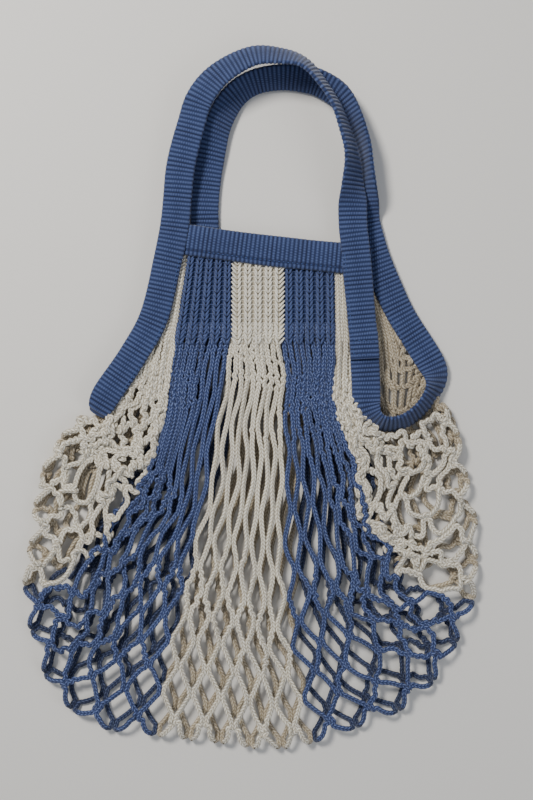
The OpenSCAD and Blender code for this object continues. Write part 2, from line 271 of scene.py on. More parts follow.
# Loose places wander from the even grid, more in the crumpled side stripes.
mess = np.where(outer[:, None], 1.1 * np.clip(share * 2 - 0.2, 0.1, 1)[None, :],
                0.3 + 0.55 * np.clip(from_middle - 0.3, 0, 1) * np.clip(share * 2 - 0.9, 0, 1)[None, :])
jitter = ripple(P, 17, 5) * 6.4 * mess[..., None]
jitter = jitter + ripple(P, 42, 6) * 2.2 * np.clip(share * 3, 0, 1)[None, :, None]
edge_fade = np.clip((1 - share) * 7, 0.15, 1)[None, :, None]
P[..., :2] += (jitter + normal * swerve[..., None]) * edge_fade
P[..., 2] += ripple(P, 9, 7)[..., 0] * 1.6 * mess
P[1::2, :, 2] += 0.5
anchor = P.copy()
loose = rng.normal(0, 1, P.shape) * [0.5, 0.5, 0.35]
P += loose * np.clip(share * 6, 0, 1)[None, :, None]
free = np.ones((1, steps, 1))                             # a chain's two ends stay where they are
free[:, :2] = 0
free[:, -2:] = 0


def pairs_close(points, reach):
    """Index pairs of points nearer than reach, found on a flat grid."""
    cell = np.floor(points[:, :2] / reach).astype(np.int64)
    cell -= cell.min(0) - 2
    wide = cell[:, 1].max() + 3
    key = cell[:, 0] * wide + cell[:, 1]
    order = np.argsort(key, kind="stable")
    ordered = key[order]
    found = []
    for dx, dy in ((0, 0), (0, 1), (1, -1), (1, 0), (1, 1)):
        want = key + dx * wide + dy
        first, last = np.searchsorted(ordered, want, "left"), np.searchsorted(ordered, want, "right")
        count = last - first
        a = np.repeat(np.arange(len(key)), count)
        start = np.repeat(first - np.r_[0, np.cumsum(count)[:-1]], count)
        b = order[start + np.arange(len(a))]
        keep = (a < b) if (dx, dy) == (0, 0) else np.ones(len(a), bool)
        a, b = a[keep], b[keep]
        d = points[a] - points[b]
        ok = (d * d).sum(1) < reach * reach
        found.append(np.stack([a[ok], b[ok]]))
    return np.concatenate(found, axis=1)


def touching(points):
    """Pairs of points that press on each other, leaving out close points of one chain."""
    found = pairs_close(points, CORD * 1.2)
    chain_a, chain_b = found // steps
    step_a, step_b = found % steps
    return found[:, ~((chain_a == chain_b) & (np.abs(step_a - step_b) < 4))]


def settle(P, rounds):
    """Relaxes the chains: they keep their length, hold at the junctions and push each other apart."""
    ids = np.arange(CHAINS * steps).reshape(CHAINS, steps)
    a_tie = ids[tied & (partner == 1)]
    b_tie = a_tie + steps
    pull = np.where(near[None, :, None], 0.06, 0.012) * np.where(outer, 0.35, 1.0)[:, None, None]
    # near the ribs each layer stays at its own height; further down both may pile up
    ceiling = np.where(is_front, 11.0, 4.4) + np.where(is_front, 6.5, 13.1) * np.clip(share * 7 - 0.9, 0, 1)
    bendy = 0.04 + 0.25 * np.exp(-((row - FRONT_ROWS) / 0.55) ** 2)[None, 1:-1, None]
    for turn in range(rounds):
        P += (anchor - P) * pull * free
        P[..., 2] += (anchor[..., 2] - P[..., 2]) * 0.03 * free[..., 0]
        for begin in (0, 1, 0, 1):
            a, b = P[:, begin:-1:2], P[:, begin + 1::2]
            n = min(a.shape[1], b.shape[1])
            a, b = a[:, :n], b[:, :n]
            d = b - a
            length = np.linalg.norm(d, axis=-1, keepdims=True) + 1e-9
            want = rest[:, begin::2][:, :n, None]
            move = d * (1 - want / length) * 0.5
            fa, fb = free[:, begin:-1:2][:, :n], free[:, begin + 1::2][:, :n]
            a += move * fa
            b -= move * fb
        # chains don't kink sharply
        mid = (P[:, :-2] + P[:, 2:]) / 2
        P[:, 1:-1] += (mid - P[:, 1:-1]) * bendy * free[:, 1:-1]
        flat = P.reshape(-1, 3)
        d = flat[b_tie] - flat[a_tie]
        length = np.linalg.norm(d, axis=1, keepdims=True) + 1e-9
        move = d * (1 - CORD / length) * 0.45
        f = np.broadcast_to(free, P.shape[:2] + (1,)).reshape(-1, 1)
        flat[a_tie] += move * f[a_tie]
        flat[b_tie] -= move * f[b_tie]
        if turn % 4 == 0:
            touch = touching(flat)
        a, b = touch
        d = flat[b] - flat[a]
        length = np.linalg.norm(d, axis=1, keepdims=True) + 1e-9
        short = np.clip(CLEAR - length, 0, None)
        move = d / length * short * 0.35
        move[:, 2] += np.sign(d[:, 2]) * short[:, 0] * 0.1
        np.add.at(flat, a, -move * f[a])
        np.add.at(flat, b, move * f[b])
        P[..., 2] = np.clip(P[..., 2], Z_LOWEST, ceiling)
    return P


P = settle(P, 90)


# ---------------------------------------------------------------- meshes
def make_mesh(name, verts, faces, attributes):
    """A smooth mesh of four-sided faces with a float attribute on each point for the material."""
    mesh = bpy.data.meshes.new(name)
    verts = np.asarray(verts, np.float32)
    faces = np.asarray(faces, np.int32)
    mesh.vertices.add(len(verts))
    mesh.vertices.foreach_set("co", verts.ravel())
    mesh.loops.add(faces.size)
    mesh.loops.foreach_set("vertex_index", faces.ravel())
    mesh.polygons.add(len(faces))
    mesh.polygons.foreach_set("loop_start", np.arange(0, faces.size, 4, dtype=np.int32))
    mesh.update(calc_edges=True)
    mesh.validate()
    for key, value in attributes.items():
        mesh.attributes.new(key, "FLOAT", "POINT").data.foreach_set("value", np.asarray(value, np.float32))
    mesh.polygons.foreach_set("use_smooth", np.full(len(mesh.polygons), True))
    obj = bpy.data.objects.new(name, mesh)
    bpy.context.scene.collection.objects.link(obj)
    return obj


def tube_faces(n, sides):
    """Faces between n rings of points, each with the given number of sides."""
    i, j = np.meshgrid(np.arange(n - 1), np.arange(sides), indexing="ij")
    j2 = (j + 1) % sides
    faces = np.stack([i * sides + j, i * sides + j2, (i + 1) * sides + j2, (i + 1) * sides + j], -1)
    return faces.reshape(-1, 4)


def spline(points, pitch):
    """Even points along a smooth curve through points, about pitch apart, and its length."""
    curve = smooth(points, steps=6)
    length = np.linalg.norm(np.diff(curve, axis=0), axis=1).sum()
    n = max(4, int(round(length / pitch)))
    return along(curve, np.linspace(0, 1, n + 1)), length


def chain_tube(points, pitch, wide, thick):
    """A knitted chain: a flat cord whose two columns of stitches meet in a row of Vs."""
    sides = 8
    line, length = spline(points, pitch)
    t = np.gradient(line, axis=0)
    t /= np.linalg.norm(t, axis=1, keepdims=True) + 1e-9
    across = np.cross(t, [0, 0, 1.0])
    across[np.linalg.norm(across, axis=1) < 0.2] = [1, 0, 0]
    across /= np.linalg.norm(across, axis=1, keepdims=True)
    for k in range(1, len(across)):                # the sides don't change over at steep places
        if across[k] @ across[k - 1] < 0:
            across[k] = -across[k]
    roll = (0.35 * np.sin(np.linspace(0, length, len(line)) / 31.0 + points[0, 0]))[:, None]
    up = np.cross(across, t)
    up /= np.linalg.norm(up, axis=1, keepdims=True) + 1e-9
    across, up = across * np.cos(roll) + up * np.sin(roll), up * np.cos(roll) - across * np.sin(roll)
    a = (np.arange(sides) + 0.5) / sides * 2 * math.pi
    run = np.linspace(0, length, len(line))
    x, y = np.cos(a)[None, :], np.sin(a)[None, :]
    ridge = np.abs(np.sin(math.pi * (run[:, None] / STITCH - np.abs(x)))) ** 0.7
    swell = 0.88 + 0.16 * ridge
    high = thick / 2 * swell * (1 - 0.25 * np.exp(-(x / 0.35) ** 2))
    ring = line[:, None] + across[:, None] * (wide / 2 * swell * x)[..., None]
    ring = ring + up[:, None] * (high * y)[..., None]
    n = len(line)
    return ring.reshape(-1, 3), tube_faces(n, sides), np.repeat(run, sides), np.tile(x[0], n), length


class Gather:
    """Collects tubes into one mesh, with what its material reads at each point."""

    def __init__(self):
        self.parts, self.n = [], 0

    def add(self, verts, faces, tone_and_shade, run=0.0, across=0.5, ridge=1.0):
        one = np.ones(len(verts))
        self.parts.append((verts, faces + self.n, one * tone_and_shade, one * run, one * across, one * ridge))
        self.n += len(verts)

    def build(self, name):
        v, f, tone_and_shade, run, across, ridge = [np.concatenate(x) for x in zip(*self.parts)]
        return make_mesh(name, v * MM, f, {"tone_and_shade": tone_and_shade, "run": run, "across": across, "ridge": ridge})


def top_path(layer, c, z):
    """The gathered part of a side stripe's chain, from under the mouth band down to the net."""
    t = np.linspace(0.06, 1, 14)
    xy = layer.top(np.full(len(t), c + 0.5), t)
    xy += ripple(xy, 6, 50 + c) * 0.4
    return np.column_stack([xy, z + (0.5 if c % 2 else -0.5) * np.sin(t * math.pi)])


def capsule(into, a, b, r, tone_and_shade):
    """A short plump loop of yarn from a to b."""
    ends, sides = 0.55, 6
    a, b = np.array(a, float), np.array(b, float)
    t = (b - a) / np.linalg.norm(b - a)
    w = np.cross(t, [0, 0, 1.0])
    w /= np.linalg.norm(w)
    u = np.cross(w, t)
    at = np.array([0, 0.25, 0.6, 1.0])
    size = r * np.array([ends, 0.95, 1.0, ends])
    mid = a + (b - a) * at[:, None] + u * (np.sin(at * math.pi) * r * 0.5)[:, None]
    ang = np.arange(sides) / sides * 2 * math.pi
    round_it = np.cos(ang)[None, :, None] * w + np.sin(ang)[None, :, None] * u
    ring = mid[:, None] + round_it * size[:, None, None]
    # painted shade: the loop is darker at its ends and on its lower side
    up = (np.array([0.55, 0.9, 1.0, 0.75])[:, None] * (0.62 + 0.38 * np.sin(ang))[None, :]).reshape(-1)
    into.add(ring.reshape(-1, 3), tube_faces(len(at), sides), tone_and_shade, ridge=up)


COLUMNS = 5                          # columns of Vs in a stripe of ribbed knitting
RIB_ROW = 3.9                        # length of one row of them


def knit_panel(into, layer, s, z, light, begin=0.06):
    """Ribbed knitting of stripe s: columns of Vs, low cross threads between them, and the knit's back."""
    first = s * PER_STRIPE
    centre = first + PER_STRIPE / 2
    length = np.linalg.norm(np.diff(layer.top(centre, np.linspace(0, 1, 20)), axis=0), axis=1).sum()
    rows = int(length * (1 - begin) / RIB_ROW)
    down = (layer.top(centre, 1.0) - layer.top(centre, 0.9)) * 10
    edge_reach = 1.18 if "cream" in STRIPES[s] else 0.62   # the cream laps over the blue beside it
    for col in range(COLUMNS):
        q = first + PER_STRIPE / COLUMNS * (col + 0.5)
        for r in range(rows + 1):
            t = begin + (1 - begin) * r / rows
            t2 = t + (1 - begin) / rows * 1.45
            sway = 0.3 * math.sin(r * 2.3 + col * 1.7 + s)
            low = layer.top(q, min(t2, 1.0)) + down * max(0, t2 - 1)
            tone_and_shade = light + 0.12 * math.sin(r * 5.1 + col * 3.3)
            for hand in (-1, 1):
                border = col == (0 if hand < 0 else COLUMNS - 1)
                reach, rise, radius = (edge_reach, 0.5, 0.95) if border else (0.68, 0.1, 1.02)
                out = layer.top(q + hand * reach, min(t, 1.0))
                point, arm = (*(low + [hand * 0.3, sway]), z - 0.7), (*(out + [0, sway]), z + rise)
                capsule(into, point, arm, radius, tone_and_shade)
                # a low cross thread, a little darker: painted shade between the columns
                far = layer.top(q + hand, min(t, 1.0))
                cross_from, cross_to = (*layer.top(q, min(t, 1.0)), z - 1.4), (*(far + [0, 0.6]), z - 1.5)
                capsule(into, cross_from, cross_to, 0.8, light * 0.8)
    # the back of the knit, a thin bumpy skin, darkened with painted shade
    u, v = np.linspace(0.1, PER_STRIPE - 0.1, 26), np.linspace(begin, 1.0, rows * 3)
    uu, vv = np.meshgrid(u, v)
    xy = layer.top(first + uu.ravel(), vv.ravel())
    bump = 0.25 * np.sin(uu * math.pi)[..., None] * np.sin(vv * rows * math.pi)[..., None]
    m = len(u)
    skin = [np.column_stack([xy, (z + level + bump * (1 if k == 0 else -1)).ravel()])
            for k, level in enumerate((-1.6, -2.2))]
    i, j = np.meshgrid(np.arange(len(v) - 1), np.arange(m - 1), indexing="ij")
    quad = np.stack([i * m + j, (i + 1) * m + j, (i + 1) * m + j + 1, i * m + j + 1], -1).reshape(-1, 4)
    into.add(skin[0], quad, light * 0.7, ridge=0.3)
    into.add(skin[1], quad[:, ::-1], light * 0.7, ridge=0.3)


def from_rib(layer, c, z):
    """The first points of a chain that grows out of the ribbed knitting."""
    return [[*layer.top(c + 0.5, t), z] for t in (0.86, 0.94)]


half_at = int(FRONT_ROWS * SUB)
pitch_front = 0.8
pitch_back = 1.15
nets = {}
for s, stripe in enumerate(STRIPES):
    side = s in SIDES
    wide, thick = (WIDE * 1.08, THICK * 1.1) if side else (WIDE, THICK)
    upper, under, rib_front, rib_back = Gather(), Gather(), Gather(), Gather()
    for c in range(s * PER_STRIPE, (s + 1) * PER_STRIPE):
        tone_and_shade = rng.uniform(0, 1)
        line = P[c]
        f_net, b_net = line[:half_at + 1], line[half_at:][::-1]
        if side:
            f_net = np.vstack([top_path(front, c, Z_SIDE_FRONT)[:-1], f_net])
            b_net = np.vstack([top_path(back, c, Z_SIDE_BACK)[:-1], b_net])
        else:
            f_net = np.vstack([from_rib(front, c, Z_RIB_FRONT - 1.2), f_net])
            b_net = np.vstack([from_rib(back, c, Z_RIB_BACK), b_net])
        # the back layer's chains take tones below a half: painted shade under the front layer
        for path, into, pitch, painted_shade_offset in ((f_net, upper, pitch_front, 0.5), (b_net, under, pitch_back, 0)):
            v, f, run, across, length = chain_tube(path, pitch, wide, thick)
            into.add(v, f, tone_and_shade / 2 + painted_shade_offset, run, across)
    if not side:
        # the back layer's ribbing takes a low tone, which is painted shade
        knit_panel(rib_front, front, s, Z_RIB_FRONT, 0.85)
        knit_panel(rib_back, back, s, Z_RIB_BACK + 0.6, 0.3, 0.16)
    nets[stripe] = (upper.build(f"net_{stripe}_upper"), under.build(f"net_{stripe}_lower"),
                    None if side else rib_front.build(f"rib_{stripe}_upper"),
                    None if side else rib_back.build(f"rib_{stripe}_lower"))


# ---------------------------------------------------------------- tapes
TAPE_W, TAPE_T = 24.5, 2.4           # the folded edge tape
BAND_W = 26                          # the folded tape of a mouth band
RIB = 3.7                            # length of one rib of a tape
FACE_POINTS = 23                     # points across one face of a tape
STATION = 0.72                       # distance of the stations along a tape
ROLL_REACH, ROLL_UNDER = 8.5, 16     # how far the left tape's rolled end reaches out and goes back under


def stations(points):
    """Even stations on a route of (x, y, z, lean), with the tape's sideways and upward directions."""
    curve = smooth(points)
    seg = np.linalg.norm(np.diff(curve[:, :3], axis=0), axis=1)
    s = np.r_[0, np.cumsum(seg)]
    at = np.linspace(0, s[-1], int(s[-1] / STATION) + 1)
    out = np.stack([np.interp(at, s, curve[:, k]) for k in range(4)], -1)
    line, a = out[:, :3], np.radians(out[:, 3])
    t = np.gradient(line, axis=0)
    h = t[:, :2] / (np.linalg.norm(t[:, :2], axis=1, keepdims=True) + 1e-9)
    side = np.column_stack([h[:, 1] * np.cos(a), -h[:, 0] * np.cos(a), np.sin(a)])
    up = np.column_stack([-h[:, 1] * np.sin(a), h[:, 0] * np.sin(a), np.cos(a)])
    return line, side, up, at


def tape_outline(w, t):
    """The tape's cross-section: upper face, full edge, lower face, and the two lips."""
    u = np.linspace(-1, 1, FACE_POINTS)
    top = np.column_stack([u * (w / 2 - 0.6), np.full(FACE_POINTS, t / 2)])
    full = np.array([[w / 2 - 0.15, t * 0.3], [w / 2 + 0.1, 0], [w / 2 - 0.15, -t * 0.3]])
    lips = np.array([[-w / 2, -t * 0.26], [-w / 2 + 0.9, 0], [-w / 2, t * 0.26]])
    return np.vstack([top, full, top[::-1] * [1, -1], lips])


def seam_groove(x, seams):
    """How deep each sewn seam pulls the tape in, from 0 to 1, at the places x across it."""
    return sum((np.exp(-((x - seam) / 0.8) ** 2) for seam in seams), 0 * x)[None, :]


def lay_tape(name, route, w=TAPE_W, t=TAPE_T, crown=1.05, seams=(), pinch=(1, 1)):
    """A folded ribbed cotton tape along a route: a full edge on one side, two thin lips on the other.

    pinch is the share that is left of its width, on its left and on its right, at each station.
    """
    line, side, up, s = route
    profile = tape_outline(w, t)
    n, m = len(line), len(profile)
    x, y = profile[:, 0], profile[:, 1]
    k = np.arange(m)
    lower = FACE_POINTS + 3                                 # the first point of the lower face
    face = np.where((k < FACE_POINTS) | ((k >= lower) & (k < lower + FACE_POINTS)), 1.0, 0.0)
    groove = seam_groove(x, seams)
    rise = np.abs(np.sin(math.pi * s / RIB))[:, None] ** 0.7
    odd = (np.floor(s / RIB) % 2)[:, None]
    cord = np.abs(np.sin(math.pi * (x[None, :] * 11 / w + 0.5 * odd)))
    bump = (0.75 * rise - 0.50 + 0.34 * rise * cord) * (0.4 + 0.6 * face[None, :])
    bump = bump - 0.95 * groove * face[None, :]
    sway = 0.22 * np.sin(s / 7.3)[:, None] + 0.5 * np.sin(s / 19.0 + 1)[:, None] * (x / w)[None, :]
    domed = crown * (1 - (2 * x / w) ** 2)[None, :] * np.sign(y)[None, :]
    yy = y[None, :] + np.sign(y)[None, :] * bump + sway + domed
    xx = x[None, :] * (1 + 0.012 * np.sin(s / 11.0)[:, None])
    xx = xx + np.sign(x)[None, :] * (1 - face)[None, :] * bump * 0.7
    narrow_left, narrow_right = [(p * np.ones(n))[:, None] for p in pinch]
    xx = xx * np.where(xx > 0, narrow_right, narrow_left)
    verts = line[:, None] + side[:, None] * xx[..., None] + up[:, None] * yy[..., None]
    faces = tube_faces(n, m)[:, [0, 3, 2, 1]]
    caps = []
    for base in (0, (n - 1) * m):
        lo, hi = 0, m - 1
        while hi - lo >= 3:
            caps.append([base + lo, base + lo + 1, base + hi - 1, base + hi])
            lo, hi = lo + 1, hi - 1
    # ridge sets the painted shade between the ribs and cords and in the seam groove, and the painted
    # highlight on the ribs' tops
    ridge = rise ** 1.1 * (0.48 + 0.52 * cord) * (1 - 0.8 * groove)
    return make_mesh(name, verts.reshape(-1, 3) * MM, np.vstack([faces, caps]),
                     {"ridge": ridge.reshape(-1), "tone_and_shade": np.full(n * m, 0.5), "across": np.tile(x / w, n)})


# One endless tape in two routes, each point (x, y, z, lean in degrees). The first runs up the front's left
# edge, round the front handle and down to the lap on the right. The second runs up the back's left edge,
# round the back handle, down the right, and turns on edge under the right side opening into the lap.
FRONT_LOOP = [
    (-129, -2, Z_TAPE_FRONT, 0), (-122, 9, Z_TAPE_FRONT, 0), (-101, 40, Z_TAPE_FRONT, 0),
    (-83, 73, Z_TAPE_FRONT, 0), (-72, 118, 15.4, 0), (-67, 140, 17.0, 0), (-64.5, 158, 16.2, 0),
    (-63, 176, 15.0, 0), (-60, 203, 16, 4), (-51, 237, 19, 8), (-43, 259, 22, 14), (-25, 279, 26, 26),
    (3, 292, 29, 36), (28, 291, 31, 46), (45, 285, 32, 58), (58, 272, 32, 66), (72, 250, 31, 70),
    (82, 223, 30, 64), (86, 203, 28, 56), (87, 182, 22, 34), (87, 166, 16.2, 4), (87.5, 148, 16.8, 0),
    (89, 135, 16.8, 0), (92, 103, 15.2, 0), (94.5, 76, Z_TAPE_FRONT, 0), (95.8, 62, 15.4, 0),
    (96.6, 54, 17.2, 0), (97.6, 36.5, 17.4, 0)]
BACK_LOOP = [
    (-127, -1, Z_TAPE_BACK, 0), (-118, 10, Z_TAPE_BACK, 0), (-90, 42, Z_TAPE_BACK, 0),
    (-66, 78, Z_TAPE_BACK, 0), (-48, 118, Z_TAPE_BACK, 0), (-41, 148, Z_TAPE_BACK, 0),
    (-40.5, 166, Z_TAPE_BACK, 0), (-39.5, 184, Z_TAPE_BACK, 0), (-36.5, 206, 3.6, -3), (-29.5, 235, 9, -26),
    (-20, 256, 9.5, -36), (-8, 269, 9.5, -44), (7, 276.5, 9.7, -46), (26, 279.5, 9.7, -46),
    (45, 278, 9.7, -44), (60, 274, 9.5, -42), (76, 263, 10, -42), (88, 243, 12, -56), (96, 222, 13.4, -68),
    (99, 204, 13.4, -70), (100, 190, 13, -64), (98.5, 176, 9.6, -34), (99, 160, 3.2, -4),
    (102, 146, Z_TAPE_BACK, 0), (112, 115, 3.4, 0), (128.5, 78, 3.9, 0), (147.5, 47, 4.8, 0),
    (155.5, 33, 7.2, 10), (159, 23, 9.6, 28), (158, 12, 11.4, 48), (152, 1, 12.2, 58), (142, -10, 12.4, 60),
    (128, -18.5, 12.4, 60), (114, -19.5, 12.4, 58), (104.5, -14, 12.8, 46), (99.8, -5, 13.8, 24),
    (98.8, 4, 14.3, 6), (98.6, 16, 14.3, 0), (97.4, 38, 14.1, 0), (96.2, 58, 14.0, 0)]
# The mouth bands; the front one's ends lie lower, under the edge tapes.
FRONT_BAND = [(-66, 140.3, 10.8, 0), (-52, 138.5, 13.4, 0), (10, 130, 14.3, 0), (74, 123.6, 13.4, 0),
              (88, 122.6, 10.8, 0)]
BACK_BAND = [(x, y, 4.3, 0) for x, y in [(-46, 132.6), (-28, 132), (30, 126), (88, 120.4), (104, 119)]]


def split(route, *levels):
    """Cuts a route where it crosses each y in turn, so that the pieces meet exactly."""
    y, at = route[0][:, 1], [0]
    for level in levels:
        k = at[-1] + 1
        while (y[k] - level) * (y[k + 1] - level) > 0:
            k += 1
        at.append(k)
    at.append(len(y) - 1)
    return [[r[a:b + 1] for r in route] for a, b in zip(at, at[1:])]


def rolled(route):
    """The left tape, whose lower end rolls over and goes back underneath; it runs from the mouth down."""
    line, side, up, s = [r[::-1] for r in route]
    side = -side
    way = line[-1] - line[-4]
    way = way / np.linalg.norm(way)
    half, a = (Z_TAPE_FRONT - Z_TAPE_BACK) / 2, np.linspace(0, math.pi, 36)[1:]
    roll = line[-1] + way * (np.sin(a) * ROLL_REACH)[:, None]
    roll = roll + np.column_stack([0 * a, 0 * a, (np.cos(a) - 1) * half])
    extra = np.vstack([roll, roll[-1] - way * np.linspace(0, ROLL_UNDER, 20)[1:, None]])
    t = np.gradient(np.vstack([line[-2:], extra]), axis=0)[2:]
    t /= np.linalg.norm(t, axis=1, keepdims=True)
    cross = np.broadcast_to(side[-1], extra.shape)
    top = np.cross(cross, t)
    top /= np.linalg.norm(top, axis=1, keepdims=True)
    s2 = s[-1] - np.cumsum(np.linalg.norm(np.diff(np.vstack([line[-1], extra]), axis=0), axis=1))
    return [np.vstack([line, extra]), np.vstack([side, cross]), np.vstack([up, top]), np.r_[s, s2]]


left_front, handle_front, right_front = split(stations(FRONT_LOOP), 149, 149)
left_back, handle_back, right_back, turn_back = split(stations(BACK_LOOP), 158, 158, 44)
left_front = rolled(left_front)
from_end = left_front[3] - left_front[3][-1]
near_end = np.clip((52 - from_end) / 22, 0, 1)
lowest = np.argmin(left_front[0][:, 1])
round_end = 1 - 0.34 * np.exp(-((np.arange(len(from_end)) - lowest) / 9.0) ** 2)
left_pinch = (round_end, round_end * (1 - 0.30 * near_end ** 2))
tapes = {"edge_tape_left_upper": lay_tape("edge_tape_left_upper", left_front, pinch=left_pinch)}
for name, route in {
        "handle_upper": handle_front, "handle_lower": handle_back, "edge_tape_left_lower": left_back,
        "edge_tape_right_upper": right_front, "edge_tape_right_lower": right_back,
        "edge_tape_right_turn": turn_back}.items():
    tapes[name] = lay_tape(name, route)
front_band, back_band = stations(FRONT_BAND), stations(BACK_BAND)
BAND_SEAM = 8.6                      # the seam lies this far from a band's middle, towards the net
for name, route, thick in (("mouth_band_upper", front_band, 4.0), ("mouth_band_lower", back_band, 3.8)):
    tapes[name] = lay_tape(name, route, BAND_W, thick, crown=1.8, seams=(BAND_SEAM,))


# ---------------------------------------------------------------- sewing thread
THREAD_R = 0.42                      # radius of the sewing thread
THREAD_PITCH, THREAD_STITCH = 4.0, 2.7   # distance of two stitches, and length of one
EDGE_SEAM = 9.6                      # the seam lies this far from the edge tape's middle, towards the net
# a stitch is drawn with painted shade at its ends, where it sinks into the tape
BOW = np.array([-0.5, 0.15, 0.32, 0.15, -0.5])   # height of a stitch along its length
BOW_RIDGE = [0.3, 0.8, 1, 0.8, 0.3]              # and how light it is there


def stitch_row(into, route, offset, rise, begin, end):
    """Short bowed stitches sunk into the tape, offset from its middle, between begin and end."""
    sides = 6
    line, side, up, s = route
    s = np.abs(s - s[0])
    a = np.arange(sides) / sides * 2 * math.pi

    def pick(values, x):
        return np.stack([np.interp(x, s, values[:, k]) for k in range(3)], -1)

    for middle in np.arange(begin, s[-1] - end, THREAD_PITCH):
        x = middle + np.linspace(-0.5, 0.5, len(BOW)) * THREAD_STITCH
        mid = pick(line, x) + pick(side, x) * offset + pick(up, x) * (rise + BOW)[:, None]
        t = np.gradient(mid, axis=0)
        t /= np.linalg.norm(t, axis=1, keepdims=True)
        u = pick(up, x)
        w = np.cross(t, u)
        round_it = np.cos(a)[None, :, None] * w[:, None] + np.sin(a)[None, :, None] * u[:, None]
        ring = mid[:, None] + round_it * THREAD_R
        into.add(ring.reshape(-1, 3), tube_faces(len(BOW), sides), 0.5, ridge=np.repeat(BOW_RIDGE, sides))


def lap_row(y):
    """The route of a stitch row across the lap, at the height y on its left."""
    return stations([(86.5, y, 17.4, 0), (97, y - 0.6, 17.9, 0), (108, y - 1.2, 17.4, 0)])


threads = {}
for name, runs in {                  # each run: route, offset, rise, and the tape left bare at its two ends
        "stitches_band_upper": [(front_band, BAND_SEAM, 2.35, 12, 14)],
        "stitches_band_lower": [(back_band, BAND_SEAM, 2.25, 12, 10)],
        "stitches_left_upper": [(left_front, -EDGE_SEAM, 1.75, 24, 55)],
        "stitches_left_lower": [(left_back, EDGE_SEAM, 1.75, 3, 24)],
        "stitches_right_upper": [(right_front, EDGE_SEAM, 1.75, 24, 3)],
        "stitches_right_lower": [(right_back, EDGE_SEAM, 1.75, 24, 3)],
        "stitches_lap": [(lap_row(40.5), 0, 2.05, 2, 2), (lap_row(52.5), 0, 2.05, 2, 2)]}.items():
    gathered = Gather()
    for run in runs:
        stitch_row(gathered, *run)
    threads[name] = gathered.build(name)


# ---------------------------------------------------------------- cotton
def cotton(name, groove, ridge, light, rough, fibre, bump, knitted=False):
    """Matt cotton: painted shade between the ribs or stitches, a painted highlight on top, with uneven dye
    and fine fibres.
    """
    m = bpy.data.materials.new(name)
    m.use_nodes = True
    n, link = m.node_tree.nodes, m.node_tree.links.new
    n.clear()
    out, bsdf = n.new("ShaderNodeOutputMaterial"), n.new("ShaderNodeBsdfPrincipled")
    where = n.new("ShaderNodeTexCoord")

    def noise(scale, detail):
        x = n.new("ShaderNodeTexNoise")
        x.inputs["Scale"].default_value = scale
        x.inputs["Detail"].default_value = detail
        link(where.outputs["Object"], x.inputs["Vector"])
        return x.outputs["Fac"]

    def ramp(source, *stops):
        x = n.new("ShaderNodeValToRGB")
        ends = x.color_ramp.elements
        for end, (place, colour) in ((ends[0], stops[0]), (ends[1], stops[-1])):
            end.position, end.color = place, (*colour, 1)
        for place, colour in stops[1:-1]:
            ends.new(place).color = (*colour, 1)
        link(source, x.inputs["Fac"])
        return x.outputs["Color"]

    def mix(kind, fac, a, b):
        x = n.new("ShaderNodeMix")
        x.data_type, x.blend_type = "RGBA", kind
        x.inputs[0].default_value = fac
        link(a, x.inputs[6])
        link(b, x.inputs[7])
        return x.outputs[2]

    def calc(kind, *terms):
        x = n.new("ShaderNodeMath")
        x.operation = kind
        for k, term in enumerate(terms):
            if isinstance(term, (int, float)):
                x.inputs[k].default_value = term
            else:
                link(term, x.inputs[k])
        return x.outputs[0]

    def value(attribute):
        x = n.new("ShaderNodeAttribute")
        x.attribute_name = attribute
        return x.outputs["Fac"]

    fine, patch = noise(fibre, 3), noise(38, 2)
    height = value("ridge")
    if knitted:
        # Vs along the chain drawn with painted shade: two slanting columns of stitches that meet in a middle
        # line darkened as painted shade, and painted shade on the cord's sides
        off = calc("ABSOLUTE", value("across"))
        phase = calc("SUBTRACT", calc("MULTIPLY", value("run"), 1 / STITCH), off)
        wave = calc("ABSOLUTE", calc("SINE", calc("MULTIPLY", phase, math.pi)))
        middle = calc("MINIMUM", calc("ADD", calc("MULTIPLY", off, 2.6), 0.25), 1.0)
        rim = calc("MULTIPLY", calc("SUBTRACT", 1.04, off), 2.7)
        rim = calc("MINIMUM", calc("MAXIMUM", rim, 0.2), 1.0)
        height = calc("MULTIPLY", calc("MULTIPLY", calc("POWER", wave, 0.8), middle), rim)
    # painted shade in the low places and painted highlight on the high ones
    base = ramp(height, (0.08, groove), (0.55, ridge), (0.98, light))
    base = mix("MULTIPLY", 0.75, base, ramp(patch, (0.25, (0.74, 0.74, 0.76)), (0.75, (1, 1, 1))))
    # chains differ a little at random, and a tone below a half, in the back layer, is painted shade: darker
    # and warmer
    shade = ramp(value("tone_and_shade"), (0.0, (0.48, 0.41, 0.32)), (0.49, (0.66, 0.59, 0.49)),
                 (0.5, (0.93, 0.92, 0.89)), (1.0, (1, 1, 1)))
    base = mix("MULTIPLY", 0.8, base, shade)
    base = mix("OVERLAY", 0.45, base, ramp(fine, (0.3, (0.22, 0.22, 0.22)), (0.72, (0.82, 0.82, 0.82))))
    link(base, bsdf.inputs["Base Color"])
    link(ramp(fine, (0.2, (rough - 0.12,) * 3), (0.8, (rough,) * 3)), bsdf.inputs["Roughness"])
    b = n.new("ShaderNodeBump")
    b.inputs["Strength"].default_value = bump
    b.inputs["Distance"].default_value = 0.0006
    link(calc("ADD", calc("MULTIPLY", fine, 0.5), height) if knitted else fine, b.inputs["Height"])
    link(b.outputs["Normal"], bsdf.inputs["Normal"])
    bsdf.inputs["Sheen Weight"].default_value = 0.25
    bsdf.inputs["Sheen Roughness"].default_value = 0.5
    bsdf.inputs["Specular IOR Level"].default_value = 0.22
    link(bsdf.outputs["BSDF"], out.inputs["Surface"])
    return m
